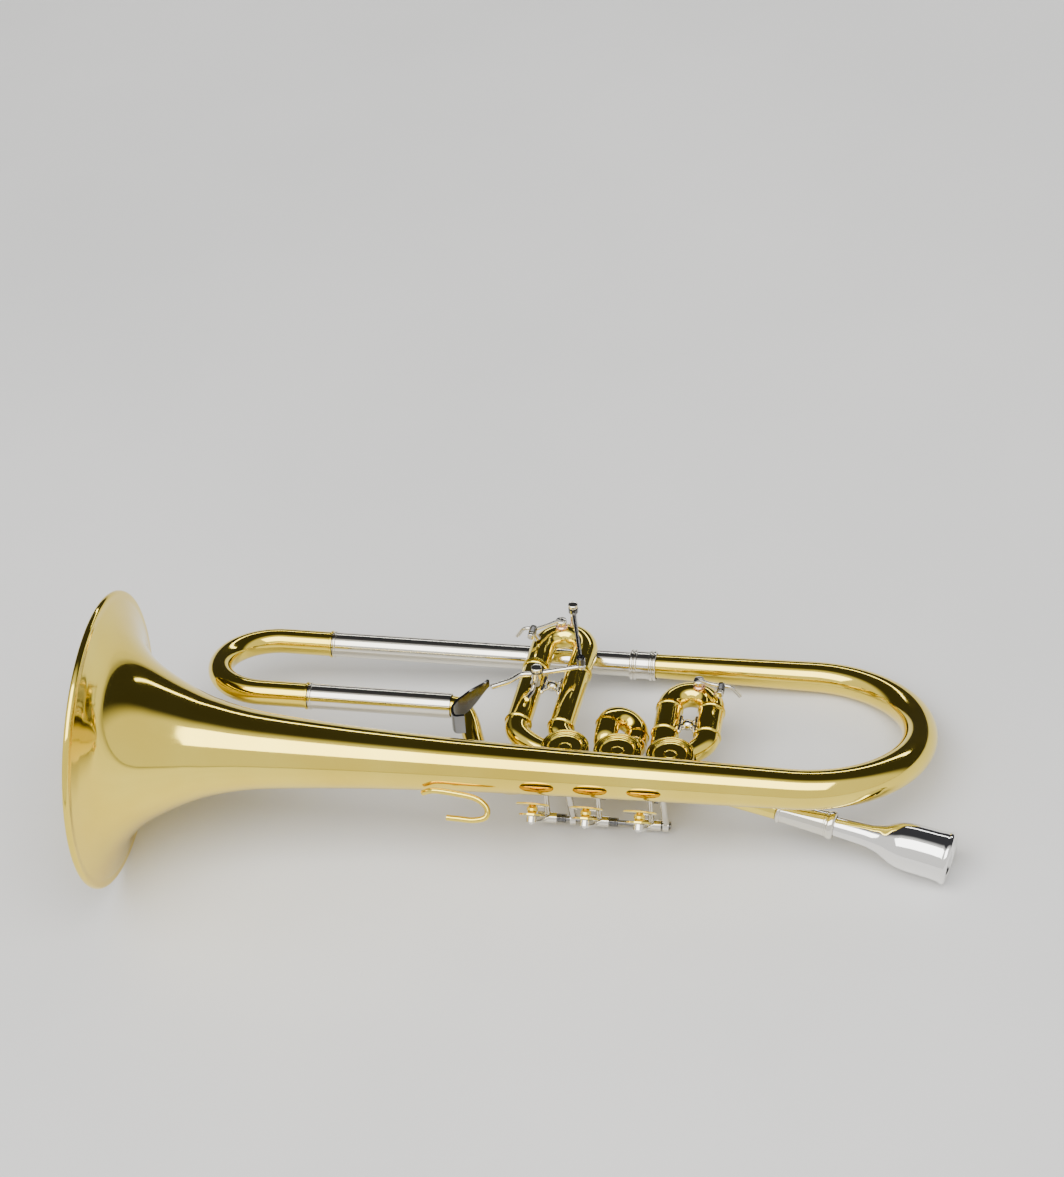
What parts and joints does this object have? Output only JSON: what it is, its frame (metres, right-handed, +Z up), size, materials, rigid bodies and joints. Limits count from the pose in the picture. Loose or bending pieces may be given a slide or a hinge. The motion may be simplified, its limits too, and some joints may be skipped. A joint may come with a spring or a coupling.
{
  "type": "flugelhorn",
  "caption": "Rotary-valve flugelhorn with tuning and valve slides, keys with rotors, a thumb slide trigger, water keys and a mouthpiece.",
  "frame": {"origin": "bottom centre of the bounding box, on the floor the horn rests on", "axes": "+X along the horn from the bell's rim to the bow and mouthpiece, +Y the way the valve slides come out, +Z up as it lies"},
  "size_m": [0.4384, 0.1986, 0.1529],
  "materials": {
    "lacquered_brass": "polished clear lacquer",
    "nickel_silver": "polished nickel silver",
    "polished_steel": "polished steel",
    "silver_plate": "bright silver plate"
  },
  "bodies": {
    "horn": {"bell": "lacquered_brass", "bell_throat": "lacquered_brass", "bell_stem": "lacquered_brass", "bell_bow": "lacquered_brass", "tail_ferrule": "nickel_silver", "rear_slide_sleeve": "nickel_silver", "front_slide_sleeve": "nickel_silver", "valve_exit_tube": "lacquered_brass", "leadpipe": "lacquered_brass", "mouthpiece_receiver": "nickel_silver", "valve_link_12": "lacquered_brass", "valve_link_23": "lacquered_brass", "slide_brace_1": "nickel_silver", "slide_brace_3": "nickel_silver", "key_axle": "polished_steel", "axle_post_a": "nickel_silver", "axle_post_b": "nickel_silver", "trigger_post": "nickel_silver", "finger_hook": "lacquered_brass", "valve_casing_1": "lacquered_brass", "valve_cap_1": "nickel_silver", "slide_1_sleeve_a": "lacquered_brass", "slide_1_sleeve_b": "lacquered_brass", "valve_casing_2": "lacquered_brass", "valve_cap_2": "nickel_silver", "slide_2_sleeve_a": "lacquered_brass", "slide_2_sleeve_b": "lacquered_brass", "valve_casing_3": "lacquered_brass", "valve_cap_3": "nickel_silver", "slide_3_sleeve_a": "lacquered_brass", "slide_3_sleeve_b": "lacquered_brass"},
    "main_tuning_slide": {"main_tuning_slide": "lacquered_brass"},
    "mouthpiece": {"mouthpiece": "silver_plate"},
    "slide_1": {"slide_1_crook": "lacquered_brass", "water_key_post_1": "nickel_silver"},
    "slide_2": {"slide_2_crook": "lacquered_brass"},
    "slide_3": {"slide_3_crook": "lacquered_brass", "water_key_post_3": "nickel_silver", "crook_post": "nickel_silver"},
    "water_key_1": {"water_key_1": "nickel_silver"},
    "water_key_3": {"water_key_3": "nickel_silver"},
    "trigger": {"trigger_lever": "nickel_silver", "trigger_saddle": "polished_steel"},
    "trigger_link": {"trigger_link": "polished_steel"},
    "rotor_1": {"valve_rotor_1": "polished_steel", "stop_arm_1": "nickel_silver"},
    "key_1": {"key_lever_1": "nickel_silver", "touchpiece_1": "lacquered_brass"},
    "key_link_1": {"key_link_1": "polished_steel"},
    "rotor_2": {"valve_rotor_2": "polished_steel", "stop_arm_2": "nickel_silver"},
    "key_2": {"key_lever_2": "nickel_silver", "touchpiece_2": "lacquered_brass"},
    "key_link_2": {"key_link_2": "polished_steel"},
    "rotor_3": {"valve_rotor_3": "polished_steel", "stop_arm_3": "nickel_silver"},
    "key_3": {"key_lever_3": "nickel_silver", "touchpiece_3": "lacquered_brass"},
    "key_link_3": {"key_link_3": "polished_steel"}
  },
  "joints": [
    {"name": "key_1_press", "type": "hinge", "parent": "horn", "child": "key_1", "pos_m": [0.06085, -0.01182, 0.00588], "axis": [0.9966, 0, -0.0826], "range_deg": [0, 18], "stiffness_Nm_per_rad": 0.1, "springref_deg": -28.65},
    {"name": "rotor_1_turn", "type": "hinge", "parent": "horn", "child": "rotor_1", "pos_m": [0.0728, 0.0014, 0.03717], "axis": [0.0824, 0.0682, 0.9943], "range_deg": [0, 90.5]},
    {"name": "key_link_1_swing", "type": "hinge", "parent": "key_1", "child": "key_link_1", "pos_m": [0.06233, -0.0106, 0.02378], "axis": [0.9966, 0, -0.0826], "range_deg": [-18.5, 0.5]},
    {"name": "key_2_press", "type": "hinge", "parent": "horn", "child": "key_2", "pos_m": [0.03394, -0.01182, 0.00811], "axis": [0.9966, 0, -0.0826], "range_deg": [0, 18], "stiffness_Nm_per_rad": 0.1, "springref_deg": -28.65},
    {"name": "rotor_2_turn", "type": "hinge", "parent": "horn", "child": "rotor_2", "pos_m": [0.04589, 0.0014, 0.03941], "axis": [0.0824, 0.0682, 0.9943], "range_deg": [0, 90.5]},
    {"name": "key_link_2_swing", "type": "hinge", "parent": "key_2", "child": "key_link_2", "pos_m": [0.03542, -0.0106, 0.02601], "axis": [0.9966, 0, -0.0826], "range_deg": [-18.5, 0.5]},
    {"name": "key_3_press", "type": "hinge", "parent": "horn", "child": "key_3", "pos_m": [0.00703, -0.01182, 0.01034], "axis": [0.9966, 0, -0.0826], "range_deg": [0, 18], "stiffness_Nm_per_rad": 0.1, "springref_deg": -28.65},
    {"name": "rotor_3_turn", "type": "hinge", "parent": "horn", "child": "rotor_3", "pos_m": [0.01899, 0.0014, 0.04164], "axis": [0.0824, 0.0682, 0.9943], "range_deg": [0, 90.5]},
    {"name": "key_link_3_swing", "type": "hinge", "parent": "key_3", "child": "key_link_3", "pos_m": [0.00851, -0.0106, 0.02824], "axis": [0.9966, 0, -0.0826], "range_deg": [-18.5, 0.5]},
    {"name": "main_tuning_slide_pull", "type": "slide", "parent": "horn", "child": "main_tuning_slide", "axis": [-0.9966, 0, 0.0826], "range_m": [0, 0.03]},
    {"name": "slide_1_pull", "type": "slide", "parent": "horn", "child": "slide_1", "axis": [-0.0056, 0.9977, -0.068], "range_m": [0, 0.012]},
    {"name": "slide_2_pull", "type": "slide", "parent": "horn", "child": "slide_2", "axis": [-0.0056, 0.9977, -0.068], "range_m": [0, 0.004]},
    {"name": "trigger_turn", "type": "hinge", "parent": "horn", "child": "trigger", "pos_m": [-0.00155, 0.04825, 0.05421], "axis": [0.0824, 0.0682, 0.9943], "range_deg": [0, 20], "stiffness_Nm_per_rad": 0.05, "springref_deg": -22.92},
    {"name": "slide_3_push", "type": "slide", "parent": "horn", "child": "slide_3", "axis": [0.0552, 0.9958, -0.0729], "range_m": [0, 0.007]},
    {"name": "trigger_link_swing", "type": "hinge", "parent": "slide_3", "child": "trigger_link", "pos_m": [0.01005, 0.09514, 0.05003], "axis": [0.0824, 0.0682, 0.9943], "range_deg": [-6.5, 0.5]},
    {"name": "water_key_1_press", "type": "hinge", "parent": "slide_1", "child": "water_key_1", "pos_m": [0.09399, 0.04813, 0.04458], "axis": [-0.0056, 0.9977, -0.068], "range_deg": [0, 20], "stiffness_Nm_per_rad": 0.02, "springref_deg": -17.19},
    {"name": "water_key_3_press", "type": "hinge", "parent": "slide_3", "child": "water_key_3", "pos_m": [-0.00981, 0.08203, 0.05087], "axis": [-0.0552, -0.9958, 0.0729], "range_deg": [0, 20], "stiffness_Nm_per_rad": 0.02, "springref_deg": -17.19},
    {"name": "mouthpiece_pull", "type": "slide", "parent": "horn", "child": "mouthpiece", "axis": [0.9673, -0.188, -0.1704], "range_m": [0, 0.02]}
  ],
  "couplings": [
    {"joint": "rotor_1_turn", "follows": "key_1_press", "ratio": 5},
    {"joint": "key_link_1_swing", "follows": "key_1_press", "ratio": -1},
    {"joint": "rotor_2_turn", "follows": "key_2_press", "ratio": 5},
    {"joint": "key_link_2_swing", "follows": "key_2_press", "ratio": -1},
    {"joint": "rotor_3_turn", "follows": "key_3_press", "ratio": 5},
    {"joint": "key_link_3_swing", "follows": "key_3_press", "ratio": -1},
    {"joint": "trigger_turn", "follows": "slide_3_push", "rad_per_m": 49.26},
    {"joint": "trigger_link_swing", "follows": "slide_3_push", "rad_per_m": -14.78}
  ]
}
